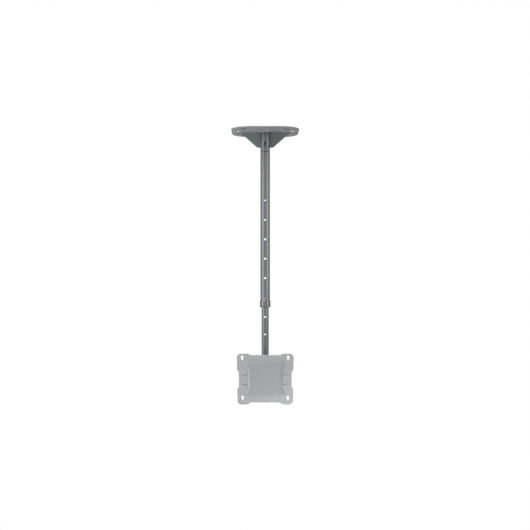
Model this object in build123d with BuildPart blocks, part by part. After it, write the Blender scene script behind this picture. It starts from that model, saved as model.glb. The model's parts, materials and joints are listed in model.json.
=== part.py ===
"""TV ceiling mount: a rounded ceiling plate with a gusseted swivel socket, a telescopic pole with a
row of height holes and a snap button, and a tilting four-point screen plate with keyholes.

Millimetres. The origin is the middle of the ceiling plate's top face, +Z is up, the screen faces -Y
and +X is to the right of someone who looks at the screen plate.
"""

import os
from math import cos, radians, sin

from build123d import *

os.makedirs("parts", exist_ok=True)

# Clearances
seat_gap = 0.05          # between pieces that are pushed together, on the radius
running_gap = 0.08       # between pieces that slide or turn in one another, on the radius
turning_gap = 0.2        # between flat faces that turn past one another
pin_gap = 0.1            # around a pin or screw in its hole, on the radius

# Ceiling plate
plate_side = 150.0
plate_thickness = 2.5
plate_corner_radius = 45.0
plate_edge_chamfer = 0.5
corner_slot_spacing_x = 94.0
corner_slot_spacing_y = 94.0
corner_slot_length = 13.0
corner_slot_width = 8.5
side_slot_spacing = 122.0
side_slot_length = 28.0
side_slot_width = 5.0

# Swivel socket and its gussets
socket_length = 42.85
socket_wall = 2.5
socket_web_depth = 33.7      # from the plate's underside to the top of the web
socket_web_thickness = 3.0
window_width = 4.5
window_height = 11.8
window_depth = 21.7          # from the plate's underside to the top of the window
gusset_thickness = 5.0
gusset_inset = 20.2          # from the plate's side to the gusset's blunt outer end
gusset_height = 34.2
gusset_foot = 6.9            # width of the gusset's lower edge beyond the socket
gusset_tip = 1.5             # height of the blunt outer end
gusset_corner_radius = 1.5

# Swivel spindle
bush_flange_thickness = 0.9
spindle_diameter = 10.0
spindle_plug_length = 30.0
spindle_pin_depth = 15.0     # below the top of the outer tube
swivel_thread_diameter = 8.0
swivel_washer_diameter = 15.4
swivel_washer_thickness = 1.6
swivel_nut_flats = 13.0
swivel_nut_height = 8.0
thread_tail = 1.0            # how far a thread stands past its nut
cross_pin_diameter = 4.0

# Pole
outer_diameter = 21.3
outer_wall = 2.0
inner_diameter = 16.0
inner_wall = 2.0
height_hole_diameter = 5.2
height_hole_pitch = 43.75
height_hole_count = 6
first_hole_depth = 155.2     # below the ceiling
inner_lead = 32.0            # inner tube above its snap button
safety_hole_rise = 52.5      # from the inner tube's end up to its lowest hole
tube_edge_chamfer = 0.4

# Collar and guides
collar_diameter = 23.8
collar_height = 15.7
collar_below_hole = 6.05     # from the lowest height hole to the collar's top edge
collar_lip_thickness = 3.0
collar_top_chamfer = 1.2
collar_bottom_chamfer = 0.7
collar_groove_width = 1.0
collar_groove_depth = 0.35
collar_groove_height = 3.4   # from the collar's lower face to the middle of its groove
guide_bush_length = 14.0
top_guide_head = 6.0
top_guide_plug = 12.0
top_guide_bore = 8.0
grub_diameter = 4.0
grub_height = 9.0            # from the collar's lower face to the screw

# Snap button clip
button_diameter = 4.8
button_stand = 0.8           # how far a button stands out of the outer tube
button_chamfer = 0.7
clip_thickness = 0.8
clip_width = 6.0
clip_half_gap = 4.9          # from the pole's axis to the outside of a leg
clip_headroom = 1.2          # between the clip's bend and the top guide
clip_leg_down = 5.0

# Tilt head
tilt_rest = 22.0             # degrees that the screen plate looks down at rest
tilt_up_limit = -5.0
tilt_down_limit = 25.0
tilt_slot_spare = 1.0        # degrees of slot past each limit
pivot_depth = 533.4          # below the ceiling
pivot_to_screen = 50.0       # from the pivot to the front of the screen plate
pivot_diameter = 8.0
pivot_head_flats = 13.0
pivot_head_height = 5.3
pivot_nut_height = 8.0
pivot_washer_diameter = 15.8
pivot_washer_thickness = 1.6
pivot_washer_hole = 8.4
knuckle_width = 16.0
knuckle_depth = 20.0
knuckle_neck = 24.0          # from the pivot up to the inner tube's end
knuckle_collar_height = 3.0
knuckle_plug_length = 28.0
knuckle_edge_chamfer = 0.8
knuckle_pin_height = 14.0    # above the inner tube's end
friction_washer_diameter = 18.0
friction_washer_thickness = 1.0
cheek_thickness = 3.0
cheek_radius = 17.0
cheek_rise = 4.0             # from the pivot up to the middle of the cheek's round end
guide_radius = 14.0
guide_diameter = 5.0
guide_slot_width = 5.6
guide_washer_diameter = 9.6
guide_washer_thickness = 1.0
guide_head_flats = 8.0
guide_head_height = 3.5
guide_nut_height = 4.5
foot_width = 24.0            # bracket foot, beyond the cheek
foot_height = 54.0
foot_corner_radius = 5.0
bend_radius = 2.0            # inside the bracket's fold

# Screen plate
screen_thickness = 2.5
ear_margin_x = 11.7          # from the keyhole pattern out to the sides of the ears
ear_margin_y = 13.4          # and to the ends of the ears, if the pattern were in the middle
ear_stand_x = 3.7            # how far the ears stand out past the waist, sideways
ear_stand_top = 3.5          # above the waist
ear_stand_bottom = 5.2       # and below it
ear_side_length = 38.9       # of an ear along the plate's side
ear_top_length = 23.2        # of an ear along the top or bottom edge
ear_slope = 5.0              # length of the slope from an ear to the waist, along the edge
ear_corner_radius = 10.0
ear_slope_radius = 4.0
screen_edge_chamfer = 0.6
screen_hole_spacing = 100.0
keyhole_head_diameter = 7.0
keyhole_slot_width = 4.2
keyhole_rise = 6.6           # from a keyhole's seat to the middle of its head opening
keyhole_drop = 0.9           # the seats' pattern sits a little below the plate's middle
mark_spacing = 24.0          # between the upper and lower pressed marks
mark_depth = 0.7
mark_height = 2.6
mark_long = 6.0
mark_short = 4.0
mark_inset = 9.0             # from the waist's side to the middle of a short mark
mark_step = 7.0              # between the middles of a short and a long mark

# Screws of the screen plate
plate_screw_diameter = 4.0
plate_screw_head_diameter = 7.6
plate_screw_length = 10.0
plate_screw_reach = 14.0     # from a cheek's outside to the screws
plate_screw_y = 17.0
plate_screw_sink = 0.1
plate_nut_flats = 7.0
plate_nut_height = 3.2

# Centre cover
cover_height = 2.4
cover_slope = 2.1
cover_half_width = 41.9
cover_half_height = 41.7
cover_flange_stand = 4.8     # how far the cover's ends stand out past its waist
cover_flange_depth = 7.7     # of the wide end, along the side
cover_flange_slope = 8.0     # length of the slope from the wide end to the waist, along the side
cover_corner_radius = 3.0
cover_shift = 3.3            # the cover sits a little above the plate's middle
cover_peg_diameter = 4.0
cover_peg_length = 4.0
cover_peg_inset_x = 10.9     # from the cover's side to the middle of a peg
cover_peg_inset_y = 8.2      # from the cover's end to the middle of a peg

# Heights worked out from the sizes above
underside = -plate_thickness
socket_radius = outer_diameter / 2
socket_bore = socket_radius - socket_wall
socket_end = underside - socket_length
gusset_reach = plate_side / 2 - gusset_inset
web_top = underside - socket_web_depth
web_bottom = web_top - socket_web_thickness
outer_top = socket_end - bush_flange_thickness - turning_gap
outer_bore = outer_diameter / 2 - outer_wall
hole_heights = [-first_hole_depth - i * height_hole_pitch for i in range(height_hole_count)]
lock_height = hole_heights[-1]
collar_top = lock_height - collar_below_hole
collar_bottom = collar_top - collar_height
outer_bottom = collar_bottom + collar_lip_thickness
inner_top = lock_height + inner_lead
inner_bore = inner_diameter / 2 - inner_wall
pivot_height = -pivot_depth
inner_bottom = pivot_height + knuckle_neck
spare_hole_height = lock_height - height_hole_pitch
safety_hole_height = inner_bottom + safety_hole_rise
spindle_pin_height = outer_top - spindle_pin_depth
knuckle_pin_z = inner_bottom + knuckle_pin_height

# Frame of the tilt head: facing looks out of the screen plate, rising runs up along it
facing = Vector(0, -cos(radians(tilt_rest)), -sin(radians(tilt_rest)))
rising = Vector(0, -sin(radians(tilt_rest)), cos(radians(tilt_rest)))
pivot_point = Vector(0, 0, pivot_height)
viewer = pivot_point + facing * 2 * pivot_to_screen
screen_half_width = screen_hole_spacing / 2 + ear_margin_x
screen_half_height = screen_hole_spacing / 2 + ear_margin_y
screen_waist_half_width = screen_half_width - ear_stand_x
screen_waist_top = screen_half_height - ear_stand_top
screen_waist_bottom = ear_stand_bottom - screen_half_height
ear_side_start = screen_half_height - ear_side_length
ear_top_start = screen_half_width - ear_top_length
mark_short_reach = screen_waist_half_width - mark_inset
mark_long_reach = mark_short_reach - mark_step
screen_front = pivot_to_screen
screen_back = pivot_to_screen - screen_thickness
cover_waist_half_width = cover_half_width - cover_flange_stand
cover_flange_start = cover_half_height - cover_flange_depth
cover_waist_end = cover_flange_start - cover_flange_slope
cover_peg_x = cover_half_width - cover_peg_inset_x
cover_peg_y = cover_half_height - cover_peg_inset_y
foot_back = screen_back - cheek_thickness
cheek_inside = knuckle_width / 2 + friction_washer_thickness + running_gap
cheek_outside = cheek_inside + cheek_thickness
plate_screw_x = cheek_outside + plate_screw_reach


def screen_plane(distance):
    """Plane parallel to the screen plate, this far in front of the pivot, with Y up along the plate."""
    return Plane(origin=pivot_point + facing * distance, x_dir=(1, 0, 0), z_dir=facing)


def cheek_plane(x):
    """Plane across the pivot at this X, with its own X away from the screen and Y up along the plate."""
    return Plane(origin=pivot_point + Vector(x, 0, 0), x_dir=-facing, z_dir=(1, 0, 0))


def cross_plane(x, height):
    """Plane across the pole at this X and height, with its own X towards the back and Y up."""
    return Plane(origin=(x, 0, height), x_dir=(0, 1, 0), z_dir=(1, 0, 0))


def finish(part, name):
    """Label a finished piece and write it as its own file."""
    part.part.label = name
    export_step(part.part, f"parts/{name}.step")


# Ceiling plate: rounded square sheet with four screw slots, two long side slots and a middle hole
with BuildPart() as ceiling_plate:
    with BuildSketch(Plane.XY.offset(underside)):
        RectangleRounded(plate_side, plate_side, plate_corner_radius)
        Circle(socket_bore, mode=Mode.SUBTRACT)
        with GridLocations(corner_slot_spacing_x, corner_slot_spacing_y, 2, 2):
            SlotOverall(corner_slot_length, corner_slot_width, mode=Mode.SUBTRACT)
        with GridLocations(side_slot_spacing, 0, 2, 1):
            SlotOverall(side_slot_length, side_slot_width, rotation=90, mode=Mode.SUBTRACT)
    extrude(amount=plate_thickness)
    lower_rim = ceiling_plate.faces().sort_by(Axis.Z)[0].outer_wire().edges()
    chamfer(lower_rim, plate_edge_chamfer)
finish(ceiling_plate, "ceiling_plate")

# Swivel socket: tube welded under the plate, with a web that carries the spindle and a front window
with BuildPart() as swivel_socket:
    with BuildSketch(Plane.XY.offset(socket_end)):
        Circle(socket_radius)
        Circle(socket_bore, mode=Mode.SUBTRACT)
    extrude(amount=socket_length)
    with BuildSketch(Plane.XY.offset(web_bottom)):
        Circle(socket_bore + socket_wall / 2)
        Circle(spindle_diameter / 2 + pin_gap, mode=Mode.SUBTRACT)
    extrude(amount=socket_web_thickness)
    with BuildSketch(Plane.XZ):
        with Locations((0, underside - window_depth - window_height / 2)):
            SlotOverall(window_height, window_width, rotation=90)
    extrude(amount=socket_radius + socket_wall, mode=Mode.SUBTRACT)
finish(swivel_socket, "swivel_socket")

# Gussets: two plain triangles welded between the plate and the socket
for side, gusset_name in ((-1, "gusset_left"), (1, "gusset_right")):
    with BuildPart() as gusset:
        with BuildSketch(Plane.XZ.offset(-gusset_thickness / 2)):
            with BuildLine():
                FilletPolyline(
                    (side * socket_radius, underside),
                    (side * gusset_reach, underside),
                    (side * gusset_reach, underside - gusset_tip),
                    (side * (socket_radius + gusset_foot), underside - gusset_height),
                    (side * socket_radius, underside - gusset_height),
                    radius=(0, 0, gusset_corner_radius, gusset_corner_radius, 0),
                    close=True,
                )
            make_face()
        extrude(amount=gusset_thickness)
    finish(gusset, gusset_name)

# Swivel bush: flanged nylon bush that shows as a thin ring under the socket
with BuildPart() as swivel_bush:
    with BuildSketch(Plane.XY.offset(socket_end - bush_flange_thickness)):
        Circle(socket_radius)
        Circle(spindle_diameter / 2 + running_gap, mode=Mode.SUBTRACT)
    extrude(amount=bush_flange_thickness)
    with BuildSketch(Plane.XY.offset(socket_end)):
        Circle(socket_bore - seat_gap)
        Circle(spindle_diameter / 2 + running_gap, mode=Mode.SUBTRACT)
    extrude(amount=web_bottom - socket_end - seat_gap)
finish(swivel_bush, "swivel_bush")

# Swivel spindle: plug in the outer tube, shaft through the bush and web, thread for the nut
shoulder_height = web_top + turning_gap
washer_top = shoulder_height + swivel_washer_thickness
spindle_top = washer_top + swivel_nut_height + thread_tail
with BuildPart() as swivel_spindle:
    with BuildSketch(Plane.XY.offset(outer_top - spindle_plug_length)):
        Circle(outer_bore - seat_gap)
    extrude(amount=spindle_plug_length)
    with BuildSketch(Plane.XY.offset(outer_top)):
        Circle(spindle_diameter / 2)
    extrude(amount=shoulder_height - outer_top)
    with BuildSketch(Plane.XY.offset(shoulder_height)):
        Circle(swivel_thread_diameter / 2)
    extrude(amount=spindle_top - shoulder_height)
    chamfer(swivel_spindle.faces().sort_by(Axis.Z)[-1].edges(), thread_tail / 2)
    with BuildSketch(cross_plane(-outer_diameter, spindle_pin_height)):
        Circle(cross_pin_diameter / 2 + seat_gap)
    extrude(amount=2 * outer_diameter, mode=Mode.SUBTRACT)
finish(swivel_spindle, "swivel_spindle")

# Washer and nut that hold the spindle on the web
with BuildPart() as swivel_washer:
    with BuildSketch(Plane.XY.offset(shoulder_height)):
        Circle(swivel_washer_diameter / 2)
        Circle(swivel_thread_diameter / 2 + pin_gap, mode=Mode.SUBTRACT)
    extrude(amount=swivel_washer_thickness)
finish(swivel_washer, "swivel_washer")

with BuildPart() as swivel_nut:
    with BuildSketch(Plane.XY.offset(washer_top)):
        RegularPolygon(swivel_nut_flats / 2, 6, major_radius=False)
        Circle(swivel_thread_diameter / 2 + seat_gap, mode=Mode.SUBTRACT)
    extrude(amount=swivel_nut_height)
finish(swivel_nut, "swivel_nut")

# Spindle pin: cross pin that holds the spindle's plug in the outer tube
with BuildPart() as spindle_pin:
    with BuildSketch(cross_plane(-outer_diameter / 2, spindle_pin_height)):
        Circle(cross_pin_diameter / 2)
    extrude(amount=outer_diameter)
    chamfer(spindle_pin.edges().filter_by(GeomType.CIRCLE), tube_edge_chamfer)
finish(spindle_pin, "spindle_pin")

# Outer tube: upper pole with its row of height holes through both walls
with BuildPart() as outer_tube:
    with BuildSketch(Plane.XY.offset(outer_bottom)):
        Circle(outer_diameter / 2)
        Circle(outer_bore, mode=Mode.SUBTRACT)
    extrude(amount=outer_top - outer_bottom)
    upper_rim = outer_tube.faces().sort_by(Axis.Z)[-1].edges().sort_by(SortBy.RADIUS)[-1]
    chamfer(upper_rim, tube_edge_chamfer)
    with BuildSketch(Plane.XZ.offset(-outer_diameter)):
        with Locations(*[(0, height) for height in hole_heights]):
            Circle(height_hole_diameter / 2)
    extrude(amount=2 * outer_diameter, mode=Mode.SUBTRACT)
    with BuildSketch(cross_plane(-outer_diameter, spindle_pin_height)):
        Circle(cross_pin_diameter / 2 + seat_gap)
    extrude(amount=2 * outer_diameter, mode=Mode.SUBTRACT)
    with BuildSketch(Plane.XZ):
        with Locations((0, collar_bottom + grub_height)):
            Circle(grub_diameter / 2 + seat_gap)
    extrude(amount=-outer_diameter, mode=Mode.SUBTRACT)
finish(outer_tube, "outer_tube")

# Collar: turned ring over the outer tube's end, with a lip that guides the inner tube
collar_radius = collar_diameter / 2
grub_length = collar_radius - outer_bore - pin_gap
collar_seat = outer_diameter / 2 + seat_gap
collar_lip_bore = inner_diameter / 2 + running_gap
groove_low = collar_bottom + collar_groove_height - collar_groove_width / 2
groove_high = groove_low + collar_groove_width
with BuildPart() as collar:
    with BuildSketch(Plane.XZ):
        with BuildLine():
            Polyline(
                (collar_lip_bore, collar_bottom),
                (collar_radius - collar_bottom_chamfer, collar_bottom),
                (collar_radius, collar_bottom + collar_bottom_chamfer),
                (collar_radius, groove_low),
                (collar_radius - collar_groove_depth, groove_low + collar_groove_depth),
                (collar_radius - collar_groove_depth, groove_high - collar_groove_depth),
                (collar_radius, groove_high),
                (collar_radius, collar_top - collar_top_chamfer),
                (collar_seat + (collar_radius - collar_seat) / 2, collar_top),
                (collar_seat, collar_top),
                (collar_seat, outer_bottom),
                (collar_lip_bore, outer_bottom),
                close=True,
            )
        make_face()
    revolve(axis=Axis.Z)
    with BuildSketch(Plane.XZ):
        with Locations((0, collar_bottom + grub_height)):
            Circle(grub_diameter / 2 + seat_gap)
    extrude(amount=-collar_diameter, mode=Mode.SUBTRACT)
finish(collar, "collar")

# Grub screw at the back of the collar, with a hex socket
with BuildPart() as collar_grub_screw:
    with BuildSketch(Plane.XZ.offset(-collar_radius)):
        with Locations((0, collar_bottom + grub_height)):
            Circle(grub_diameter / 2)
    extrude(amount=grub_length)
    with BuildSketch(Plane.XZ.offset(-collar_radius)):
        with Locations((0, collar_bottom + grub_height)):
            RegularPolygon(grub_diameter / 4, 6, major_radius=False)
    extrude(amount=grub_length / 2, mode=Mode.SUBTRACT)
finish(collar_grub_screw, "collar_grub_screw")

# Lower guide bush: nylon sleeve inside the outer tube's lower end
with BuildPart() as lower_guide_bush:
    with BuildSketch(Plane.XY.offset(outer_bottom)):
        Circle(outer_bore - seat_gap)
        Circle(inner_diameter / 2 + running_gap, mode=Mode.SUBTRACT)
    extrude(amount=guide_bush_length)
finish(lower_guide_bush, "lower_guide_bush")

# Inner tube: lower pole with the snap button's holes, a spare height hole and a safety hole
with BuildPart() as inner_tube:
    with BuildSketch(Plane.XY.offset(inner_bottom)):
        Circle(inner_diameter / 2)
        Circle(inner_bore, mode=Mode.SUBTRACT)
    extrude(amount=inner_top - inner_bottom)
    inner_ends = inner_tube.faces().filter_by(Axis.Z)
    chamfer([end.outer_wire().edges()[0] for end in inner_ends], tube_edge_chamfer)
    with BuildSketch(Plane.XZ.offset(-outer_diameter)):
        with Locations((0, lock_height), (0, spare_hole_height), (0, safety_hole_height)):
            Circle(height_hole_diameter / 2)
    extrude(amount=2 * outer_diameter, mode=Mode.SUBTRACT)
    with BuildSketch(cross_plane(-outer_diameter, knuckle_pin_z)):
        Circle(cross_pin_diameter / 2 + seat_gap)
    extrude(amount=2 * outer_diameter, mode=Mode.SUBTRACT)
finish(inner_tube, "inner_tube")

# Top guide: nylon plug on the inner tube that runs in the outer tube's bore
with BuildPart() as top_guide:
    with BuildSketch(Plane.XY.offset(inner_top)):
        Circle(outer_bore - running_gap)
        Circle(top_guide_bore / 2, mode=Mode.SUBTRACT)
    extrude(amount=top_guide_head)
    with BuildSketch(Plane.XY.offset(inner_top - top_guide_plug)):
        Circle(inner_bore - seat_gap)
        Circle(top_guide_bore / 2, mode=Mode.SUBTRACT)
    extrude(amount=top_guide_plug)
finish(top_guide, "top_guide")

# Snap button clip: bent spring strip in the inner tube with a blunt-nosed button on each leg
button_reach = outer_diameter / 2 + button_stand
clip_middle = clip_half_gap - clip_thickness / 2
clip_foot = lock_height - clip_leg_down
bend_height = inner_top - top_guide_plug - clip_headroom - clip_half_gap
with BuildPart() as snap_button_clip:
    with BuildSketch(Plane.YZ.offset(-clip_width / 2)):
        with BuildLine():
            front_leg = Line((-clip_middle, clip_foot), (-clip_middle, bend_height))
            bend = ThreePointArc(front_leg @ 1, (0, bend_height + clip_middle), (clip_middle, bend_height))
            Line(bend @ 1, (clip_middle, clip_foot))
        trace(line_width=clip_thickness)
        with Locations((0, clip_foot - clip_thickness)):
            Rectangle(4 * clip_middle, 2 * clip_thickness, mode=Mode.SUBTRACT)
    extrude(amount=clip_width)
    for way in (-1, 1):
        with BuildSketch(Plane.XZ.offset(way * clip_middle)):
            with Locations((0, lock_height)):
                Circle(button_diameter / 2)
        extrude(amount=way * (button_reach - clip_middle))
    noses = snap_button_clip.faces().sort_by(Axis.Y)
    chamfer(noses[0].edges() + noses[-1].edges(), button_chamfer)
finish(snap_button_clip, "snap_button_clip")

# Tilt knuckle: plug in the inner tube, with a round-ended tongue that carries the pivot
tongue_top = inner_bottom - knuckle_collar_height - seat_gap
with BuildPart() as tilt_knuckle:
    with BuildSketch(Plane.XY.offset(inner_bottom)):
        Circle(inner_bore - seat_gap)
    extrude(amount=knuckle_plug_length)
    with BuildSketch(Plane.XY.offset(inner_bottom - knuckle_collar_height)):
        Circle(inner_diameter / 2)
    extrude(amount=knuckle_collar_height)
    with BuildSketch(cross_plane(-knuckle_width / 2, pivot_height)):
        Circle(knuckle_depth / 2)
        with Locations((0, (knuckle_neck - knuckle_collar_height) / 2)):
            Rectangle(knuckle_depth, knuckle_neck - knuckle_collar_height)
    extrude(amount=knuckle_width)
    cheek_faces = tilt_knuckle.faces().filter_by(GeomType.PLANE).filter_by(Axis.X)
    tongue_rim = cheek_faces.edges().filter_by(lambda edge: edge.center().Z < tongue_top)
    chamfer(tongue_rim, knuckle_edge_chamfer)
    with BuildSketch(cross_plane(-knuckle_width, pivot_height)):
        Circle(pivot_diameter / 2 + running_gap)
        with Locations((0, guide_radius)):
            Circle(guide_diameter / 2 + seat_gap)
    extrude(amount=2 * knuckle_width, mode=Mode.SUBTRACT)
    with BuildSketch(cross_plane(-outer_diameter, knuckle_pin_z)):
        Circle(cross_pin_diameter / 2 + seat_gap)
    extrude(amount=2 * outer_diameter, mode=Mode.SUBTRACT)
finish(tilt_knuckle, "tilt_knuckle")

# Knuckle pin: cross pin that holds the knuckle's plug in the inner tube
with BuildPart() as knuckle_pin:
    with BuildSketch(cross_plane(-inner_diameter / 2, knuckle_pin_z)):
        Circle(cross_pin_diameter / 2)
    extrude(amount=inner_diameter)
    chamfer(knuckle_pin.edges().filter_by(GeomType.CIRCLE), tube_edge_chamfer)
finish(knuckle_pin, "knuckle_pin")

# Friction washers: nylon discs between the knuckle and the bracket's cheeks
with BuildPart() as friction_washers:
    for side in (-1, 1):
        with BuildSketch(cross_plane(side * knuckle_width / 2, pivot_height)):
            Circle(friction_washer_diameter / 2)
            Circle(pivot_diameter / 2 + pin_gap, mode=Mode.SUBTRACT)
        extrude(amount=side * friction_washer_thickness)
finish(friction_washers, "friction_washers")

# Tilt brackets: two folded angles, each with a foot on the screen plate and a slotted cheek
arc_start = 90 - tilt_down_limit - tilt_slot_spare
arc_size = tilt_down_limit - tilt_up_limit + 2 * tilt_slot_spare
slot_line = CenterArc((0, 0), guide_radius, arc_start, arc_size)
for side, bracket_name in ((-1, "tilt_bracket_left"), (1, "tilt_bracket_right")):
    with BuildPart() as bracket:
        with BuildSketch(cheek_plane(side * cheek_inside)):
            with Locations((-screen_back + cheek_thickness / 2, 0)):
                Rectangle(cheek_thickness, foot_height)
            with Locations((0, cheek_rise)):
                Circle(cheek_radius)
            make_hull()
            Circle(pivot_diameter / 2 + seat_gap, mode=Mode.SUBTRACT)
            SlotArc(slot_line, guide_slot_width, mode=Mode.SUBTRACT)
        extrude(amount=side * cheek_thickness)
        with BuildSketch(screen_plane(foot_back)):
            with Locations((side * (cheek_inside + (cheek_thickness + foot_width) / 2), 0)):
                Rectangle(cheek_thickness + foot_width, foot_height)
            with GridLocations(2 * plate_screw_x, 2 * plate_screw_y, 2, 2):
                Circle(plate_screw_diameter / 2 + pin_gap, mode=Mode.SUBTRACT)
        extrude(amount=cheek_thickness)
        inside_fold = pivot_point + facing * foot_back + Vector(side * cheek_outside, 0, 0)
        outside_fold = pivot_point + facing * screen_back + Vector(side * cheek_inside, 0, 0)
        fillet(bracket.edges().sort_by_distance(inside_fold)[0], bend_radius)
        fillet(bracket.edges().sort_by_distance(outside_fold)[0], bend_radius)
        through = bracket.edges().filter_by(lambda e: abs((e % 0.5).dot(facing)) > 0.999)
        fillet(through.group_by(Axis.X)[-1 if side > 0 else 0], foot_corner_radius)
    finish(bracket, bracket_name)

# Pivot bolt, its nut and washers
head_seat = cheek_outside + pivot_washer_thickness
pivot_end = head_seat + pivot_nut_height + thread_tail
with BuildPart() as pivot_bolt:
    with BuildSketch(cheek_plane(-head_seat)):
        Circle(pivot_diameter / 2)
    extrude(amount=head_seat + pivot_end)
    with BuildSketch(cheek_plane(-head_seat)):
        RegularPolygon(pivot_head_flats / 2, 6, major_radius=False)
    extrude(amount=-pivot_head_height)
    chamfer(pivot_bolt.faces().sort_by(Axis.X)[-1].edges(), thread_tail / 2)
finish(pivot_bolt, "pivot_bolt")

with BuildPart() as pivot_nut:
    with BuildSketch(cheek_plane(head_seat)):
        RegularPolygon(pivot_head_flats / 2, 6, major_radius=False)
        Circle(pivot_diameter / 2 + seat_gap, mode=Mode.SUBTRACT)
    extrude(amount=pivot_nut_height)
finish(pivot_nut, "pivot_nut")

with BuildPart() as pivot_washers:
    for side in (-1, 1):
        with BuildSketch(cheek_plane(side * cheek_outside)):
            Circle(pivot_washer_diameter / 2)
            Circle(pivot_washer_hole / 2, mode=Mode.SUBTRACT)
        extrude(amount=side * pivot_washer_thickness)
finish(pivot_washers, "pivot_washers")

# Tilt guide: bolt through the knuckle and the curved slots, with washers and a nut
guide_height = pivot_height + guide_radius
guide_seat = cheek_outside + turning_gap + guide_washer_thickness
guide_end = guide_seat + guide_nut_height + thread_tail
with BuildPart() as guide_bolt:
    with BuildSketch(cross_plane(-guide_seat, guide_height)):
        Circle(guide_diameter / 2)
    extrude(amount=guide_seat + guide_end)
    with BuildSketch(cross_plane(-guide_seat, guide_height)):
        RegularPolygon(guide_head_flats / 2, 6, major_radius=False)
    extrude(amount=-guide_head_height)
    chamfer(guide_bolt.faces().sort_by(Axis.X)[-1].edges(), thread_tail / 2)
finish(guide_bolt, "guide_bolt")

with BuildPart() as guide_nut:
    with BuildSketch(cross_plane(guide_seat, guide_height)):
        RegularPolygon(guide_head_flats / 2, 6, major_radius=False)
        Circle(guide_diameter / 2 + seat_gap, mode=Mode.SUBTRACT)
    extrude(amount=guide_nut_height)
finish(guide_nut, "guide_nut")

with BuildPart() as guide_washers:
    for side in (-1, 1):
        with BuildSketch(cross_plane(side * (cheek_outside + turning_gap), guide_height)):
            Circle(guide_washer_diameter / 2)
            Circle(guide_diameter / 2 + pin_gap, mode=Mode.SUBTRACT)
        extrude(amount=side * guide_washer_thickness)
finish(guide_washers, "guide_washers")

# Screen plate: pressed sheet with four ears, keyholes, countersunk screw holes and pressed marks
keyhole_seats = GridLocations(screen_hole_spacing, screen_hole_spacing, 2, 2)
corner_radii = (ear_slope_radius, ear_slope_radius, ear_corner_radius, ear_slope_radius, ear_slope_radius)
seat_points = [(place.position.X, place.position.Y - keyhole_drop) for place in keyhole_seats]
with BuildPart() as screen_plate:
    with BuildSketch(screen_plane(screen_back)):
        with BuildLine():
            FilletPolyline(
                (0, screen_waist_top),
                (ear_top_start - ear_slope, screen_waist_top),
                (ear_top_start, screen_half_height),
                (screen_half_width, screen_half_height),
                (screen_half_width, ear_side_start),
                (screen_waist_half_width, ear_side_start - ear_slope),
                (screen_waist_half_width, ear_slope - ear_side_start),
                (screen_half_width, -ear_side_start),
                (screen_half_width, -screen_half_height),
                (ear_top_start, -screen_half_height),
                (ear_top_start - ear_slope, screen_waist_bottom),
                (0, screen_waist_bottom),
                radius=corner_radii + corner_radii,
            )
            Line((0, screen_waist_bottom), (0, screen_waist_top))
        make_face()
        mirror(about=Plane.YZ)
        with Locations(*[(x, y + keyhole_rise) for x, y in seat_points]):
            Circle(keyhole_head_diameter / 2, mode=Mode.SUBTRACT)
        with Locations(*[(x, y + keyhole_rise / 2) for x, y in seat_points]):
            SlotCenterToCenter(keyhole_rise, keyhole_slot_width, rotation=90, mode=Mode.SUBTRACT)
        with GridLocations(2 * cover_peg_x, 2 * cover_peg_y, 2, 2):
            with Locations((0, cover_shift)):
                Circle(cover_peg_diameter / 2 + seat_gap, mode=Mode.SUBTRACT)
    extrude(amount=screen_thickness)
    front_face = screen_plate.faces().sort_by_distance(viewer)[0]
    chamfer(front_face.outer_wire().edges(), screen_edge_chamfer)
    with Locations(screen_plane(screen_front)):
        with GridLocations(2 * plate_screw_x, 2 * plate_screw_y, 2, 2):
            CounterSinkHole(
                plate_screw_diameter / 2 + pin_gap,
                plate_screw_head_diameter / 2 + pin_gap,
                counter_sink_angle=90,
            )
    with BuildSketch(screen_plane(screen_front)):
        with GridLocations(2 * mark_long_reach, mark_spacing, 2, 2):
            SlotOverall(mark_long, mark_height)
        with GridLocations(2 * mark_short_reach, mark_spacing, 2, 2):
            SlotOverall(mark_short, mark_height)
    extrude(amount=-mark_depth, mode=Mode.SUBTRACT)
finish(screen_plate, "screen_plate")

# Plate screws: countersunk screws through the plate and the bracket feet, with nuts behind
screw_front = screen_front - plate_screw_sink
head_depth = (plate_screw_head_diameter - plate_screw_diameter) / 2
with BuildPart() as plate_screws:
    with BuildSketch(screen_plane(screw_front)):
        with GridLocations(2 * plate_screw_x, 2 * plate_screw_y, 2, 2):
            Circle(plate_screw_head_diameter / 2)
    extrude(amount=-head_depth, taper=45)
    with BuildSketch(screen_plane(screw_front)):
        with GridLocations(2 * plate_screw_x, 2 * plate_screw_y, 2, 2):
            Circle(plate_screw_diameter / 2)
    extrude(amount=-plate_screw_length)
finish(plate_screws, "plate_screws")

with BuildPart() as plate_nuts:
    with BuildSketch(screen_plane(foot_back)):
        with GridLocations(2 * plate_screw_x, 2 * plate_screw_y, 2, 2):
            RegularPolygon(plate_nut_flats / 2, 6, major_radius=False)
            Circle(plate_screw_diameter / 2 + seat_gap, mode=Mode.SUBTRACT)
    extrude(amount=-plate_nut_height)
finish(plate_nuts, "plate_nuts")

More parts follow.
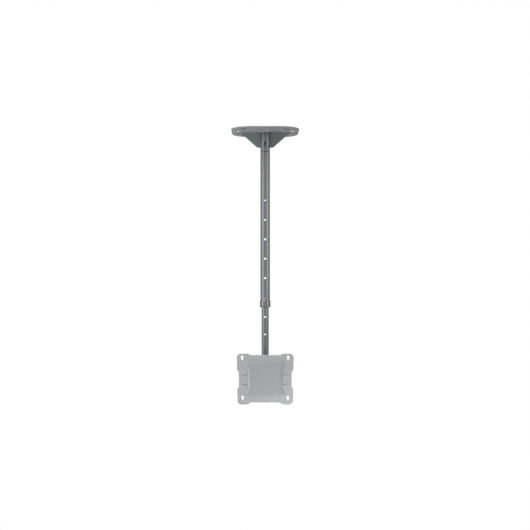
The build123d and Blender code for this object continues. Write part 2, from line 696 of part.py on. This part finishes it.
# Centre cover: moulded cap with sloped sides over the screws, held by four pegs
cover_plane = screen_plane(screen_front)
cover_plane.origin = cover_plane.origin + rising * cover_shift
with BuildPart() as centre_cover:
    with BuildSketch(cover_plane):
        with BuildLine():
            FilletPolyline(
                (0, cover_half_height),
                (cover_half_width, cover_half_height),
                (cover_half_width, cover_flange_start),
                (cover_waist_half_width, cover_waist_end),
                (cover_waist_half_width, 0),
                radius=cover_corner_radius,
            )
            Polyline((cover_waist_half_width, 0), (0, 0), (0, cover_half_height))
        make_face()
        mirror(about=Plane.XZ)
        mirror(about=Plane.YZ)
    extrude(amount=cover_height)
    cover_front = centre_cover.faces().sort_by_distance(viewer)[0]
    chamfer(cover_front.edges(), cover_slope)
    with BuildSketch(cover_plane):
        with GridLocations(2 * cover_peg_x, 2 * cover_peg_y, 2, 2):
            Circle(cover_peg_diameter / 2)
    extrude(amount=-cover_peg_length)
finish(centre_cover, "centre_cover")
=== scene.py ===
"""Looks of a tv ceiling mount: painted steel pole, pressed screen plate, moulded cover, plated fasteners.

Metres, in the part's own frame: the ceiling is at Z 0, the screen faces -Y and +X is to its right.
"""

import json
import math

import bpy
import numpy as np
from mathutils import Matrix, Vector


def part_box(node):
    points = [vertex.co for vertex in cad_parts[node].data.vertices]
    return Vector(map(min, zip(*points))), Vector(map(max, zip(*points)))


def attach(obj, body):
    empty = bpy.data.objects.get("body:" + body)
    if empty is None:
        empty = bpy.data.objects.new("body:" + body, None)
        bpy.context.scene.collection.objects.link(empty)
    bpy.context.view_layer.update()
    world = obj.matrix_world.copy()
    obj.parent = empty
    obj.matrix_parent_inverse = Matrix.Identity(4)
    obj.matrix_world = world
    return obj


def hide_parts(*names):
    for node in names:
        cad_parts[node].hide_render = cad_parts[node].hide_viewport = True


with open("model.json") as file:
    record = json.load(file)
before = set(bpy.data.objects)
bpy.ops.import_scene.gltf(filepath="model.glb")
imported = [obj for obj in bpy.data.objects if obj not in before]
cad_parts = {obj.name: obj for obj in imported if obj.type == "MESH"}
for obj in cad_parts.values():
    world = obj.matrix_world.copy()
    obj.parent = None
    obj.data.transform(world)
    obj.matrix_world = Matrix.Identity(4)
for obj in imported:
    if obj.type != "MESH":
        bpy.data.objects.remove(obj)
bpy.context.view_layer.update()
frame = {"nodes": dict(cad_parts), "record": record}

MM = 0.001
TURN = 2 * math.pi
SMOOTH_BELOW = math.radians(35)


# Shapes


def add_piece(name, points, faces, body, material):
    """New mesh at the origin with its place in its vertices, smooth but for sharp edges, on one body."""
    mesh = bpy.data.meshes.new(name)
    mesh.from_pydata(points.tolist(), [], faces)
    mesh.validate()
    mesh.polygons.foreach_set("use_smooth", np.ones(len(mesh.polygons), dtype=bool))
    mesh.set_sharp_from_angle(angle=SMOOTH_BELOW)
    mesh.materials.append(material)
    piece = bpy.data.objects.new(name, mesh)
    bpy.context.scene.collection.objects.link(piece)
    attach(piece, body)
    return piece


def grid_faces(rows, columns, closed_rows=False):
    """Quads of a grid whose columns wrap round, and whose rows wrap too if closed_rows is set."""
    row, column = np.meshgrid(np.arange(rows if closed_rows else rows - 1), np.arange(columns), indexing="ij")
    here, below = row * columns, (row + 1) % rows * columns
    beside = (column + 1) % columns
    corners = (here + column, here + beside, below + beside, below + column)
    return np.stack(corners, axis=-1).reshape(-1, 4).tolist()


def turned_shape(along, radius, origin, axis, out, closed=False):
    """Surface round an axis: P(i, j) = origin + along(i, j) axis + radius(i, j) spoke(t).

    spoke(t) = cos t out + sin t axis x out. i runs along the outline and t = 2 pi j / columns runs round it.
    An open outline starts and ends on the axis, where a fan closes it, and a closed one comes back to its
    first ring.
    """
    rows, columns = radius.shape
    turn = np.arange(columns) * TURN / columns
    axis, out = np.array(axis, float), np.array(out, float)
    spoke = np.cos(turn)[:, None] * out + np.sin(turn)[:, None] * np.cross(axis, out)
    points = np.array(origin) + along[..., None] * axis + radius[..., None] * spoke[None]
    points = points.reshape(-1, 3)
    faces = grid_faces(rows, columns, closed)
    if not closed:
        ends = np.array(origin) + np.array([along[0].mean(), along[-1].mean()])[:, None] * axis
        first, last, base = len(points), len(points) + 1, (rows - 1) * columns
        points = np.vstack([points, ends])
        faces += [[first, (j + 1) % columns, j] for j in range(columns)]
        faces += [[last, base + j, base + (j + 1) % columns] for j in range(columns)]
    return points, [face[::-1] for face in faces]


def hexagon(turn, flats):
    """Radius of a hexagon at an angle: r(t) = (flats / 2) / cos((t mod 60 deg) - 30 deg)."""
    return flats / 2 / np.cos(np.mod(turn, TURN / 6) - TURN / 12)


def crowned_hexagon(depth, turn, flats):
    """Hexagon cut by a 30 degree cone: r = min(hexagon(t), 0.95 flats / 2 + depth / tan 30 deg)."""
    return np.minimum(hexagon(turn, flats)[None], 0.475 * flats + depth[:, None] * math.sqrt(3))


def bolt_shape(origin, axis, out, flats, head, diameter, length, thread, pitch, columns=96):
    """Hex bolt: crowned head, plain shank and a cut thread, closed on the axis at both ends.

    Thread radius r(x, t) = d / 2 - 0.3 pitch (1 + cos(2 pi x / pitch - t)), fading out towards the shank.
    """
    turn = np.arange(columns) * TURN / columns
    crown = np.linspace(0, 0.12 * flats, 7)
    rows = [(np.full(columns, -head), np.full(columns, 0.44 * flats))]
    rows += [(np.full(columns, -head + d), r) for d, r in zip(crown, crowned_hexagon(crown, turn, flats))]
    rows += [(np.zeros(columns), hexagon(turn, flats)), (np.zeros(columns), np.full(columns, diameter / 2))]
    reach = np.linspace(length - thread, length - 0.6 * pitch, int(8 * thread / pitch))
    fade = np.clip((reach - reach[0]) / pitch, 0, 1)
    cut = 0.3 * pitch * (1 + np.cos(TURN * reach[:, None] / pitch - turn[None])) * fade[:, None]
    rows += [(np.full(columns, x), diameter / 2 - c) for x, c in zip(reach, cut)]
    rows += [(np.full(columns, length), np.full(columns, diameter / 2 - 0.62 * pitch))]
    along, radius = (np.array(part) for part in zip(*rows))
    return turned_shape(along, radius, origin, axis, out)


def nut_shape(origin, axis, out, flats, height, bore, collar, columns=96):
    """Nut round a plain bore: a crowned hexagon, then a round collar of the given height with a rolled lip.

    Lip: x = height - roll (1 - sin a) and r = shoulder - roll (1 - cos a), for a from 0 to 90 degrees.
    """
    turn = np.arange(columns) * TURN / columns
    hexes = height - collar
    crown = np.linspace(0, 0.1 * flats, 6)
    flat = np.full(columns, 1.0)
    rows = [(0 * flat, bore * flat)]
    rows += [(d * flat, r) for d, r in zip(crown, crowned_hexagon(crown, turn, flats))]
    rows += [((hexes - d) * flat, r) for d, r in zip(crown[::-1], crowned_hexagon(crown[::-1], turn, flats))]
    if collar:
        lip = np.linspace(0, TURN / 4, 6)
        shoulder, roll = 0.44 * flats, 0.35 * collar
        lip_along = height - roll + roll * np.sin(lip)
        lip_radius = shoulder - roll + roll * np.cos(lip)
        rows += [(hexes * flat, shoulder * flat)]
        rows += [(x * flat, r * flat) for x, r in zip(lip_along, lip_radius)]
    rows += [(height * flat, bore * flat)]
    along, radius = (np.array(part) for part in zip(*rows))
    return turned_shape(along, radius, origin, axis, out, closed=True)


def bead_shape(path, side, up, size, ripple, closed=False, columns=20):
    """Weld bead along a path: P(s, t) = path(s) + size(s, t) (cos t side(s) + 0.8 sin t up(s)).

    size(s, t) = size0 end(s) (1 + 0.12 |cos(pi s / ripple - 0.6 cos t)|), the scallops that a welder leaves,
    with end(s) falling to nothing at the ends of an open bead.
    """
    turn = np.arange(columns) * TURN / columns
    steps = np.linalg.norm(np.diff(path, axis=0), axis=1)
    length = np.concatenate([[0], np.cumsum(steps)])
    scallop = 1 + 0.12 * np.abs(np.cos(math.pi * length[:, None] / ripple - 0.6 * np.cos(turn)[None]))
    rounded = np.ones(len(path))
    if not closed:
        rounded = np.sqrt(np.clip(np.minimum(length, length[-1] - length) / (1.5 * size), 0.02, 1))
    radius = size * scallop * rounded[:, None]
    ring = np.cos(turn)[None, :, None] * side[:, None] + 0.8 * np.sin(turn)[None, :, None] * up[:, None]
    points = (path[:, None] + radius[..., None] * ring).reshape(-1, 3)
    faces = grid_faces(len(path), columns, closed)
    if not closed:
        base = (len(path) - 1) * columns
        faces += [list(range(columns))[::-1], [base + j for j in range(columns)]]
    return points, faces


# Materials


def srgb(code):
    """Linear colour of an sRGB hex value."""
    parts = [int(code[i:i + 2], 16) / 255 for i in (1, 3, 5)]
    return [c / 12.92 if c <= 0.04045 else ((c + 0.055) / 1.055) ** 2.4 for c in parts] + [1.0]


def add_node(tree, kind, inputs=(), **settings):
    """New node with its settings, and with each input linked to a socket or set to a value."""
    made = tree.nodes.new(kind)
    for key, value in settings.items():
        setattr(made, key, value)
    for key, value in dict(inputs).items():
        if isinstance(value, bpy.types.NodeSocket):
            tree.links.new(value, made.inputs[key])
        else:
            made.inputs[key].default_value = value
    return made


def new_finish(name):
    """Empty node material and its Principled shader, object coordinates ready."""
    material = bpy.data.materials.new(name)
    material.use_nodes = True
    tree = material.node_tree
    place = add_node(tree, "ShaderNodeTexCoord").outputs["Object"]
    return material, tree, tree.nodes["Principled BSDF"], place


def powder_coat(name, pale, deep, roughness, metallic, gloss, peel_mm, painted_light_and_shade=()):
    """Baked powder paint: orange peel of a millimetre or so, cloudy by a few percent, satin.

    The last argument holds pairs: a function that gives places, and the colour laid over the coat there as
    painted shade or a painted highlight.
    """
    material, tree, shader, place = new_finish(name)
    cloud = add_node(tree, "ShaderNodeTexNoise", {"Vector": place, "Scale": 1 / (45 * MM), "Detail": 3.0})
    speck = add_node(tree, "ShaderNodeTexNoise", {"Vector": place, "Scale": 1 / (0.5 * MM), "Detail": 2.0})
    blend = add_node(tree, "ShaderNodeMath", {0: cloud.outputs["Fac"], 1: speck.outputs["Fac"]},
                     operation="ADD")
    spread = add_node(tree, "ShaderNodeMapRange", {
        "Value": blend.outputs[0], "From Min": 0.7, "From Max": 1.3,
    })
    tint = add_node(tree, "ShaderNodeMix", {"Factor": spread.outputs[0], "A": srgb(deep), "B": srgb(pale)},
                    data_type="RGBA")
    colour = tint.outputs["Result"]
    # Painted shade and painted highlights laid over the coat's own colour
    for places, painted_tone in painted_light_and_shade:
        layer = {"Factor": places(tree, place), "A": colour, "B": srgb(painted_tone)}
        colour = add_node(tree, "ShaderNodeMix", layer, data_type="RGBA").outputs["Result"]
    tree.links.new(colour, shader.inputs["Base Color"])
    worn = add_node(tree, "ShaderNodeMapRange", {
        "Value": cloud.outputs["Fac"], "From Min": 0.3, "From Max": 0.7,
        "To Min": roughness - 0.03, "To Max": roughness + 0.03,
    })
    tree.links.new(worn.outputs[0], shader.inputs["Roughness"])
    peel = add_node(tree, "ShaderNodeTexNoise", {"Vector": place, "Scale": 1 / (peel_mm * MM), "Detail": 1.0})
    bump = add_node(tree, "ShaderNodeBump", {
        "Height": peel.outputs["Fac"], "Strength": 0.05, "Distance": 0.02 * MM,
    })
    tree.links.new(bump.outputs["Normal"], shader.inputs["Normal"])
    shader.inputs["Metallic"].default_value = metallic
    shader.inputs["Specular IOR Level"].default_value = gloss
    shader.inputs["Specular Tint"].default_value = srgb("#b0b0b0")
    return material


def moulded_plastic(name, pale, deep, roughness, grain_mm):
    """Injection-moulded plastic: a spark-eroded grain, one even colour with a faint cloud, dull."""
    material, tree, shader, place = new_finish(name)
    cloud = add_node(tree, "ShaderNodeTexNoise", {"Vector": place, "Scale": 1 / (30 * MM), "Detail": 2.0})
    tint = add_node(tree, "ShaderNodeMix", {"Factor": cloud.outputs["Fac"], "A": srgb(deep), "B": srgb(pale)},
                    data_type="RGBA")
    tree.links.new(tint.outputs["Result"], shader.inputs["Base Color"])
    grain = add_node(tree, "ShaderNodeTexVoronoi", {"Vector": place, "Scale": 1 / (grain_mm * MM)})
    bump = add_node(tree, "ShaderNodeBump", {
        "Height": grain.outputs["Distance"], "Strength": 0.15, "Distance": 0.04 * MM,
    })
    tree.links.new(bump.outputs["Normal"], shader.inputs["Normal"])
    shader.inputs["Roughness"].default_value = roughness
    return material


def plated_steel(name, pale, deep, roughness, streak_mm):
    """Plated or bright steel: cloudy plating with fine drawn streaks, metallic."""
    material, tree, shader, place = new_finish(name)
    cloud = add_node(tree, "ShaderNodeTexNoise", {"Vector": place, "Scale": 1 / (4 * MM), "Detail": 4.0})
    tint = add_node(tree, "ShaderNodeMix", {"Factor": cloud.outputs["Fac"], "A": srgb(deep), "B": srgb(pale)},
                    data_type="RGBA")
    tree.links.new(tint.outputs["Result"], shader.inputs["Base Color"])
    drawn = add_node(tree, "ShaderNodeMapping", {"Vector": place, "Scale": (0.08, 1.0, 1.0)})
    streak = add_node(tree, "ShaderNodeTexNoise", {
        "Vector": drawn.outputs["Vector"], "Scale": 1 / (streak_mm * MM), "Detail": 2.0,
    })
    gloss = add_node(tree, "ShaderNodeMapRange", {
        "Value": streak.outputs["Fac"], "From Min": 0.3, "From Max": 0.7,
        "To Min": roughness - 0.08, "To Max": roughness + 0.08,
    })
    tree.links.new(gloss.outputs[0], shader.inputs["Roughness"])
    bump = add_node(tree, "ShaderNodeBump", {
        "Height": streak.outputs["Fac"], "Strength": 0.1, "Distance": 0.02 * MM,
    })
    tree.links.new(bump.outputs["Normal"], shader.inputs["Normal"])
    shader.inputs["Metallic"].default_value = 1.0
    return material


plate_normal = np.array(frame["record"]["mounts"][1]["axis"])
plate_skin = frame["nodes"]["screen_plate"].data
plate_corners = np.empty(3 * len(plate_skin.vertices))
plate_skin.vertices.foreach_get("co", plate_corners)
plate_front = float((plate_corners.reshape(-1, 3) @ plate_normal).max())
rim_start = 73 * MM          # the slots end nearer to the pole than this, and the rim is farther
mark_levels = 0.35 * MM, 1.2 * MM          # below the plate's front
upright_below = 0.5          # share of a face's normal along Z
ahead_above = 0.7          # share of a face's normal towards the screen


def upright_walls(tree, place, test):
    """Upright faces of the ceiling plate, nearer to the pole than the rim or farther, as the test says."""
    flat = add_node(tree, "ShaderNodeVectorMath", {0: place, 1: (1.0, 1.0, 0.0)}, operation="MULTIPLY")
    far = add_node(tree, "ShaderNodeVectorMath", {0: flat.outputs["Vector"]}, operation="LENGTH")
    near = add_node(tree, "ShaderNodeMath", {0: far.outputs["Value"], 1: rim_start}, operation=test)
    normal = add_node(tree, "ShaderNodeTexCoord").outputs["Normal"]
    facing = add_node(tree, "ShaderNodeSeparateXYZ", {0: normal})
    tilt = add_node(tree, "ShaderNodeMath", {0: facing.outputs["Z"]}, operation="ABSOLUTE")
    upright = add_node(tree, "ShaderNodeMath", {0: tilt.outputs[0], 1: upright_below}, operation="LESS_THAN")
    return add_node(tree, "ShaderNodeMath", {0: near.outputs[0], 1: upright.outputs[0]},
                    operation="MULTIPLY").outputs[0]


def painted_slot_shade(tree, place):
    """Walls of the punched slots, darkened there as painted shade."""
    return upright_walls(tree, place, "LESS_THAN")


def painted_rim_highlight(tree, place):
    """Rim of the ceiling plate, made paler there as a painted highlight."""
    return upright_walls(tree, place, "GREATER_THAN")


def painted_mark_shade(tree, place):
    """Floors of the pressed marks, darkened as painted shade: faces towards the screen, a little below the
    plate's front.
    """
    front = tuple(plate_normal)
    level = add_node(tree, "ShaderNodeVectorMath", {0: place, 1: front}, operation="DOT_PRODUCT")
    below = add_node(tree, "ShaderNodeMath", {0: level.outputs["Value"], 1: plate_front - mark_levels[0]},
                     operation="LESS_THAN")
    above = add_node(tree, "ShaderNodeMath", {0: level.outputs["Value"], 1: plate_front - mark_levels[1]},
                     operation="GREATER_THAN")
    normal = add_node(tree, "ShaderNodeTexCoord").outputs["Normal"]
    facing = add_node(tree, "ShaderNodeVectorMath", {0: normal, 1: front}, operation="DOT_PRODUCT")
    ahead = add_node(tree, "ShaderNodeMath", {0: facing.outputs["Value"], 1: ahead_above},
                     operation="GREATER_THAN")
    deep = add_node(tree, "ShaderNodeMath", {0: below.outputs[0], 1: above.outputs[0]}, operation="MULTIPLY")
    return add_node(tree, "ShaderNodeMath", {0: deep.outputs[0], 1: ahead.outputs[0]},
                    operation="MULTIPLY").outputs[0]


# Silver-grey powder coat with metal flake on the round steel of the pole: twin satin streaks down the tubes
pole_paint = powder_coat("satin_grey_powder_coat", "#747678", "#6e7072",
                         roughness=0.25, metallic=0.6, gloss=0.0, peel_mm=1.1)
# The same grey on the gussets, brackets and weld beads: laid on thicker and duller
sheet_paint = powder_coat("dull_grey_powder_coat", "#7e8082", "#787a7c",
                          roughness=0.45, metallic=0.12, gloss=0.0, peel_mm=1.4)
# The ceiling plate's own coat: painted shade, near black, on the walls of its punched slots, and a painted
# highlight, paler, on its rim
plate_paint = powder_coat("dull_grey_powder_coat_painted_shade_and_highlight", "#7e8082", "#787a7c",
                          roughness=0.45, metallic=0.12, gloss=0.0, peel_mm=1.4,
                          painted_light_and_shade=((painted_slot_shade, "#2c2d2e"), (painted_rim_highlight, "#929395")))
# Paler silver powder coat on the pressed screen plate: even and a little duller, with painted shade darkening
# the floors of the pressed marks
screen_paint = powder_coat("silver_powder_coat_shaded_marks", "#b6b7ba", "#b0b1b4",
                           roughness=0.42, metallic=0.15, gloss=0.15, peel_mm=1.1,
                           painted_light_and_shade=((painted_mark_shade, "#9c9da0"),))
# Moulded ABS of the cover: dull and close in tone to the plate
cover_plastic = moulded_plastic("moulded_grey_abs", "#a8a9ac", "#a4a5a8", roughness=0.45, grain_mm=0.6)
# Black nylon of the bushes and friction washers: dull, worn to a dark grey
nylon = moulded_plastic("black_nylon", "#404143", "#38393b", roughness=0.5, grain_mm=0.5)
# Zinc-plated steel of the bolts, nuts, pins and washers: cool and cloudy
zinc = plated_steel("zinc_plated_steel", "#c8cacd", "#a9acb0", roughness=0.32, streak_mm=0.4)
# Blackened and oiled steel of the spindle inside the socket, with a soft shine: its dark tone is partly the
# steel's own and partly painted shade for the window in the socket
painted_shade_steel = plated_steel("blackened_steel_painted_window_shade", "#6a6b6d", "#545557", roughness=0.42, streak_mm=0.4)
# Bright spring steel of the snap button
spring = plated_steel("bright_spring_steel", "#a3a4a6", "#8b8c8e", roughness=0.3, streak_mm=0.3)

finishes = {
    "pole_paint": pole_paint, "screen_paint": screen_paint, "cover_plastic": cover_plastic,
    "nylon": nylon, "zinc_steel": zinc, "spring_steel": spring,
}
for subpart in frame["record"]["subparts"]:
    skin = frame["nodes"][subpart["node"]].data
    skin.materials.clear()
    skin.materials.append(finishes[subpart["material_slot"]])
# Dark steel on the spindle, its pin and washer inside the socket, partly painted shade for the socket's window
for turned_node in ("swivel_spindle", "spindle_pin", "swivel_washer"):
    frame["nodes"][turned_node].data.materials[0] = painted_shade_steel
for sheet_node in ("gusset_left", "gusset_right", "tilt_bracket_left", "tilt_bracket_right"):
    frame["nodes"][sheet_node].data.materials[0] = sheet_paint
frame["nodes"]["ceiling_plate"].data.materials[0] = plate_paint


# Fasteners with crowned heads and cut threads, in place of the plain solids

tilt_axis = (1.0, 0.0, 0.0)
plate_up = np.cross(plate_normal, tilt_axis)
thread_length = 12 * MM


def middle(node):
    """Middle of a node's box."""
    low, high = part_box(node)
    return (np.array(low) + np.array(high)) / 2


def cross_bolt(name, node, nut_node, nut_name, washers, flats, diameter, head, nut_height, pitch, out, body):
    """Bolt along X and its lock nut, seated on the outer faces of the washers' node."""
    (x_low, _, _), (x_high, _, _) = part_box(washers)
    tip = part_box(node)[1][0]
    centre = middle(node)
    seat = np.array([x_low, centre[1], centre[2]])
    points, faces = bolt_shape(seat, tilt_axis, out, flats, head, diameter, tip - x_low, thread_length, pitch)
    bolt = add_piece(name, points, faces, body, zinc)
    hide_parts(node)
    far = np.array([x_high, centre[1], centre[2]])
    points, faces = nut_shape(far, tilt_axis, out, flats, nut_height,
                              bore=diameter / 2, collar=0.3 * nut_height)
    nut = add_piece(nut_name, points, faces, body, zinc)
    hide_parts(nut_node)


cross_bolt("pivot_bolt_threaded", "pivot_bolt", "pivot_nut", "pivot_lock_nut", "pivot_washers",
           flats=13 * MM, diameter=8 * MM, head=5.3 * MM, nut_height=8 * MM, pitch=1.25 * MM,
           out=plate_up, body="screen_head")
cross_bolt("guide_bolt_threaded", "guide_bolt", "guide_nut", "guide_lock_nut", "guide_washers",
           flats=8 * MM, diameter=5 * MM, head=3.5 * MM, nut_height=4.5 * MM, pitch=0.8 * MM,
           out=(0.0, 0.0, 1.0), body="inner_pole")

# The swivel lock nut inside the socket takes the same dark steel, partly painted shade
swivel_seat = middle("swivel_nut") * (1, 1, 0) + (0, 0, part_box("swivel_nut")[0][2])
points, faces = nut_shape(swivel_seat, (0.0, 0.0, 1.0), tilt_axis,
                          flats=13 * MM, height=8 * MM, bore=4 * MM, collar=2.4 * MM)
swivel_lock_nut = add_piece("swivel_lock_nut", points, faces, "pole", painted_shade_steel)
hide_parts("swivel_nut")

foot_nut_flats = 7 * MM
foot_nut_height = 3.2 * MM
foot_nut_bore = 2.05 * MM
foot_nut_row = 17 * MM
foot_nut_side = (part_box("plate_nuts")[1][0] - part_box("plate_nuts")[0][0]) / 2 - foot_nut_flats / math.sqrt(3)
foot_seat = middle("plate_nuts") + plate_normal * foot_nut_height / 2
foot_points, foot_faces = [], []
for side in (-foot_nut_side, foot_nut_side):
    for rise in (-foot_nut_row, foot_nut_row):
        place_nut = foot_seat + side * np.array(tilt_axis) + rise * plate_up
        points, faces = nut_shape(place_nut, -plate_normal, tilt_axis, foot_nut_flats, foot_nut_height,
                                  foot_nut_bore, collar=0.0, columns=48)
        foot_faces += [[corner + sum(map(len, foot_points)) for corner in face] for face in faces]
        foot_points.append(points)
foot_nuts = add_piece("plate_crowned_nuts", np.vstack(foot_points), foot_faces, "screen_head",
                      zinc)
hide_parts("plate_nuts")


# Weld beads of the socket and the gussets

plate_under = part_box("ceiling_plate")[0][2]
socket_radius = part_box("swivel_socket")[1][0]
gusset_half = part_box("gusset_right")[1][1]
gusset_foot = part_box("gusset_right")[0][2]
gusset_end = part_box("gusset_right")[1][0]
bead = 1.3 * MM
ripple = 2.2 * MM
bead_gap = 1 * MM          # from a bead's end to the next seam


def straight_bead(name, start, end, side, up):
    """Weld bead on a straight seam from start to end, in the corner that side and up open into."""
    steps = int(np.linalg.norm(np.subtract(end, start)) / (ripple / 6))
    path = np.linspace(start, end, steps)
    points, faces = bead_shape(path, np.tile(side, (steps, 1)), np.tile(up, (steps, 1)), bead, ripple)
    return add_piece(name, points, faces, "ceiling", sheet_paint)


for hand, word in ((-1, "left"), (1, "right")):
    for face, place_word in ((-1, "front"), (1, "back")):
        corner_x = hand * math.sqrt(socket_radius ** 2 - gusset_half ** 2)
        seam = np.array([corner_x, face * gusset_half, 0.0])
        outward, across = np.array([hand, 0.0, 0.0]), np.array([0.0, face, 0.0])
        down = np.array([0.0, 0.0, -1.0])
        socket_corner = (outward, across) if hand == face else (across, outward)
        plate_corner = (down, across) if hand == face else (across, down)
        straight_bead(f"weld_{word}_{place_word}_socket",
                      seam + (0, 0, gusset_foot + bead_gap), seam + (0, 0, plate_under - bead_gap),
                      *socket_corner)
        straight_bead(f"weld_{word}_{place_word}_plate",
                      np.array([hand * (socket_radius + bead_gap), face * gusset_half, plate_under]),
                      np.array([hand * (gusset_end - 2 * bead_gap), face * gusset_half, plate_under]),
                      *plate_corner)

ring_steps = 240
ring_turn = np.arange(ring_steps) * TURN / ring_steps
ring_out = np.stack([np.cos(ring_turn), np.sin(ring_turn), 0 * ring_turn], axis=1)
ring_path = socket_radius * ring_out + np.array([0, 0, plate_under])
ring_up = np.tile([0.0, 0.0, 1.0], (ring_steps, 1))
ring_points, ring_faces = bead_shape(ring_path, ring_out, ring_up, bead, ripple, closed=True)
add_piece("weld_socket_ring", ring_points, ring_faces, "ceiling", sheet_paint)


# Floor, background, lights and camera

floor_finish, floor_tree, floor_shader, _ = new_finish("pale_studio_floor")
floor_shader.inputs["Base Color"].default_value = srgb("#f2f2f2")
floor_shader.inputs["Roughness"].default_value = 0.9
floor_shader.inputs["Emission Color"].default_value = srgb("#ffffff")
floor_glow = 0.35
floor_seen = add_node(floor_tree, "ShaderNodeMath", {
    0: add_node(floor_tree, "ShaderNodeLightPath").outputs["Is Camera Ray"], 1: floor_glow,
}, operation="MULTIPLY")
floor_tree.links.new(floor_seen.outputs[0], floor_shader.inputs["Emission Strength"])
floor_radius = 0.9
floor_level = -1.6
floor_corners = 96
spokes = np.arange(floor_corners) * TURN / floor_corners
floor_rim = (floor_radius * np.cos(spokes), floor_radius * np.sin(spokes), 0 * spokes + floor_level)
floor_points = np.stack(floor_rim, axis=1)
floor_mesh = bpy.data.meshes.new("studio_floor")
floor_mesh.from_pydata(floor_points.tolist(), [], [list(range(floor_corners))])
floor_mesh.materials.append(floor_finish)
floor = bpy.data.objects.new("studio_floor", floor_mesh)
bpy.context.scene.collection.objects.link(floor)

world = bpy.data.worlds.new("white_studio")
bpy.context.scene.world = world
world.use_nodes = True
sky = world.node_tree
sky.nodes.clear()
look = add_node(sky, "ShaderNodeTexCoord").outputs["Generated"]


def sky_patch(toward, start, full, strength):
    """Soft patch of light on the sky: it grows to its strength as the cosine to a direction does."""
    cosine = add_node(sky, "ShaderNodeVectorMath", {0: look, 1: toward}, operation="DOT_PRODUCT")
    return add_node(sky, "ShaderNodeMapRange", {
        "Value": cosine.outputs["Value"], "From Min": start, "From Max": full,
        "To Min": 0.0, "To Max": strength,
    }).outputs[0]


even_sky = 0.1
both = {0: even_sky, 1: sky_patch((0.0, 0.0, -1.0), start=0.5, full=0.9, strength=2.2)}
sky_level = add_node(sky, "ShaderNodeMath", both, operation="ADD").outputs[0]
light_path = add_node(sky, "ShaderNodeLightPath")
seen = light_path.outputs["Is Camera Ray"]
for ray in ("Is Glossy Ray", "Is Transmission Ray"):
    both = {0: seen, 1: light_path.outputs[ray]}
    seen = add_node(sky, "ShaderNodeMath", both, operation="MAXIMUM").outputs[0]
soft_light = add_node(sky, "ShaderNodeBackground", {"Color": srgb("#ffffff"), "Strength": sky_level})
white_back = add_node(sky, "ShaderNodeBackground", {"Color": srgb("#ffffff"), "Strength": 1.0})
either = add_node(sky, "ShaderNodeMixShader", {0: seen, 1: soft_light.outputs[0], 2: white_back.outputs[0]})
add_node(sky, "ShaderNodeOutputWorld", {"Surface": either.outputs[0]})


def softbox(name, place, target, width, height, power, spread=math.pi):
    """Rectangular area light at a place, turned to a target, with a grid over it if its spread is narrow."""
    lamp = bpy.data.lights.new(name, "AREA")
    lamp.shape = "RECTANGLE"
    lamp.size, lamp.size_y = width, height
    lamp.energy = power
    lamp.spread = spread
    holder = bpy.data.objects.new(name, lamp)
    bpy.context.scene.collection.objects.link(holder)
    holder.location = place
    holder.rotation_euler = (Vector(place) - Vector(target)).to_track_quat("Z", "Y").to_euler()


# Place, target, width, height, power in watts and, for a narrow one, spread
softboxes = {
    "left_softbox": ((-1.28, -0.78, -0.22), (0.0, 0.0, -0.29), 0.95, 0.74, 5.5),
    "right_softbox": ((1.3, -0.75, -0.17), (0.0, 0.0, -0.26), 1.15, 0.7, 5.3),
    "low_softbox": ((0.22, -0.13, -0.9), (0.1, 0.35, -0.6), 0.5, 0.12, 0.8),
    "low_left_softbox": ((-1.2, -0.6, -1.2), (0.0, 0.0, -0.3), 0.8, 0.8, 4.0),
    "key_softbox": ((-0.5, -1.2, 1.1), (0.0, 0.0, -0.3), 0.7, 0.7, 24.0),
    "edge_softbox": ((-0.9, 0.16, -1.0), (0.0, -0.05, -0.55), 0.3, 0.3, 3.2),
    "back_softbox": ((0.0, 1.5, 0.9), (0.0, 0.0, -0.35), 1.4, 1.0, 26.0),
    "gusset_softbox": ((-0.85, -0.18, -0.3), (-0.045, 0.0, -0.005), 0.1, 0.1, 0.024, 0.18),
}
for lamp_name, setting in softboxes.items():
    softbox(lamp_name, *setting)

lens_mm = 58.71
camera_data = bpy.data.cameras.new("photo_camera")
camera_data.lens = lens_mm
camera_data.sensor_width = 36.0
camera_data.clip_start = 0.05
camera = bpy.data.objects.new("photo_camera", camera_data)
bpy.context.scene.collection.objects.link(camera)
camera.location = (-0.4 * MM, -1.943, -0.3006)
camera.rotation_euler = (math.pi / 2, 0.0, 0.0)
bpy.context.scene.camera = camera
bpy.context.scene.view_settings.view_transform = "Standard"
